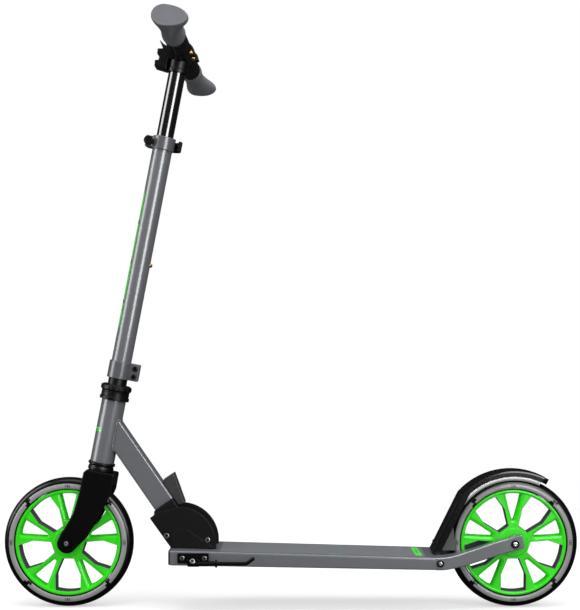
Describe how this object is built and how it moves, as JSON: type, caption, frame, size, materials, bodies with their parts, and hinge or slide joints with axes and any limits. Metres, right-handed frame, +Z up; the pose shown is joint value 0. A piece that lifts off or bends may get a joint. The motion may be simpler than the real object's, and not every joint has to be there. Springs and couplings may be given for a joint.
{
  "type": "kick scooter",
  "caption": "Folding two-wheel kick scooter with big green-spoked wheels, low grey deck, telescopic stem, T handlebar, foot brake over the rear wheel and a side stand.",
  "frame": {"origin": "on the ground, in the middle plane, halfway between the two wheels", "axes": "+X towards the rear wheel, +Z up, +Y to the rider's right"},
  "size_m": [0.8894, 0.488, 0.8786],
  "materials": {
    "frame_grey": "satin paint",
    "deck_grip": "matt, gritty",
    "black_paint": "semi-gloss paint",
    "black_gloss": "gloss",
    "black_steel": "satin paint",
    "black_plastic": "matt",
    "fender_plastic": "gloss",
    "dark_plastic": "matt",
    "green_plastic": "gloss",
    "tyre": "semi-gloss",
    "grip_rubber": "satin",
    "steel": "brushed",
    "clamp_metal": "satin",
    "brass": "polished"
  },
  "bodies": {
    "frame": {"deck": "frame_grey", "deck_grip": "deck_grip", "deck_front_cap": "black_plastic", "rail_left": "frame_grey", "rail_right": "frame_grey", "fender_bolt": "steel", "fender_spring": "steel", "rear_axle": "steel", "rear_axle_nut": "steel", "fold_plate_left": "black_paint", "fold_plate_right": "black_paint", "bracket_screw_left": "steel", "bracket_screw_right": "steel", "fold_pivot_pin": "steel", "kickstand_bracket": "black_steel", "kickstand_screw_front": "steel", "kickstand_screw_rear": "steel", "kickstand_pin": "steel"},
    "neck": {"head_tube": "frame_grey", "neck_tube": "frame_grey", "neck_foot": "black_paint", "head_cup_lower": "black_plastic", "head_cup_upper": "black_plastic"},
    "fold_release": {"release_lever": "dark_plastic"},
    "steering": {"fork": "black_paint", "headset_nut": "black_plastic", "stem_clamp": "clamp_metal", "clamp_bolt_upper": "steel", "clamp_bolt_lower": "steel", "stem_tube": "frame_grey", "height_collar": "clamp_metal", "qr_skewer": "black_steel", "front_axle": "steel", "front_axle_nut": "steel"},
    "quick_release": {"qr_lever": "black_plastic"},
    "height_lock": {"height_button": "brass"},
    "bar": {"inner_tube": "black_gloss", "t_head": "black_plastic", "front_holder": "black_plastic", "strap_loop": "black_plastic"},
    "left_handle": {"handle_tube_left": "black_gloss", "handle_collar_left": "black_plastic", "grip_left": "grip_rubber"},
    "right_handle": {"handle_tube_right": "black_gloss", "handle_collar_right": "black_plastic", "grip_right": "grip_rubber"},
    "left_handle_lock": {"handle_button_left": "brass"},
    "right_handle_lock": {"handle_button_right": "brass"},
    "front_wheel": {"front_tyre": "tyre", "front_wheel_core": "green_plastic", "front_bearing_left": "steel", "front_bearing_right": "steel"},
    "rear_wheel": {"rear_tyre": "tyre", "rear_wheel_core": "green_plastic", "rear_bearing_left": "steel", "rear_bearing_right": "steel"},
    "brake": {"brake_fender": "fender_plastic", "brake_plate": "clamp_metal"},
    "kickstand": {"kickstand_arm": "black_steel", "kickstand_spring": "black_steel"}
  },
  "joints": [
    {"name": "fold", "type": "hinge", "parent": "frame", "child": "neck", "pos_m": [-0.1904, 0, 0.1129], "axis": [0, 1, 0], "range_deg": [0, 79]},
    {"name": "fold_lever", "type": "hinge", "parent": "neck", "child": "fold_release", "pos_m": [-0.17412, 0, 0.15758], "axis": [0, 1, 0], "range_deg": [0, 20], "stiffness_Nm_per_rad": 0.6, "springref_deg": -5.73},
    {"name": "steer", "type": "hinge", "parent": "neck", "child": "steering", "pos_m": [-0.3179, 0, 0.1], "axis": [0.1898, 0, 0.9818], "range_deg": [-90, 90]},
    {"name": "front_wheel_spin", "type": "hinge", "parent": "steering", "child": "front_wheel", "pos_m": [-0.3447, 0, 0.1], "axis": [0, 1, 0], "continuous": true},
    {"name": "rear_wheel_spin", "type": "hinge", "parent": "frame", "child": "rear_wheel", "pos_m": [0.3447, 0, 0.1], "axis": [0, 1, 0], "continuous": true},
    {"name": "bar_height", "type": "slide", "parent": "steering", "child": "bar", "axis": [0.1898, 0, 0.9818], "range_m": [-0.09, 0.045]},
    {"name": "height_clamp", "type": "hinge", "parent": "steering", "child": "quick_release", "pos_m": [-0.21954, 0.015, 0.72214], "axis": [0.1898, 0, 0.9818], "range_deg": [0, 150]},
    {"name": "height_button_press", "type": "slide", "parent": "steering", "child": "height_lock", "axis": [-0.9818, 0, 0.1898], "range_m": [0, 0.0025], "stiffness_N_per_m": 300, "springref_m": -0.001},
    {"name": "left_handle_pull", "type": "slide", "parent": "bar", "child": "left_handle", "axis": [0, -1, 0], "range_m": [0, 0.06]},
    {"name": "right_handle_pull", "type": "slide", "parent": "bar", "child": "right_handle", "axis": [0, 1, 0], "range_m": [0, 0.06]},
    {"name": "left_button_press", "type": "slide", "parent": "bar", "child": "left_handle_lock", "axis": [-0.9818, 0, 0.1898], "range_m": [0, 0.0025], "stiffness_N_per_m": 300, "springref_m": -0.001},
    {"name": "right_button_press", "type": "slide", "parent": "bar", "child": "right_handle_lock", "axis": [-0.9818, 0, 0.1898], "range_m": [0, 0.0025], "stiffness_N_per_m": 300, "springref_m": -0.001},
    {"name": "brake_press", "type": "hinge", "parent": "frame", "child": "brake", "pos_m": [0.2281, 0, 0.0736], "axis": [0, 1, 0], "range_deg": [0, 2.2], "stiffness_Nm_per_rad": 6, "springref_deg": -11.46},
    {"name": "kickstand_swing", "type": "hinge", "parent": "frame", "child": "kickstand", "pos_m": [-0.147, -0.0615, 0.0786], "axis": [0, 0.866, -0.5], "range_deg": [0, 85]}
  ]
}
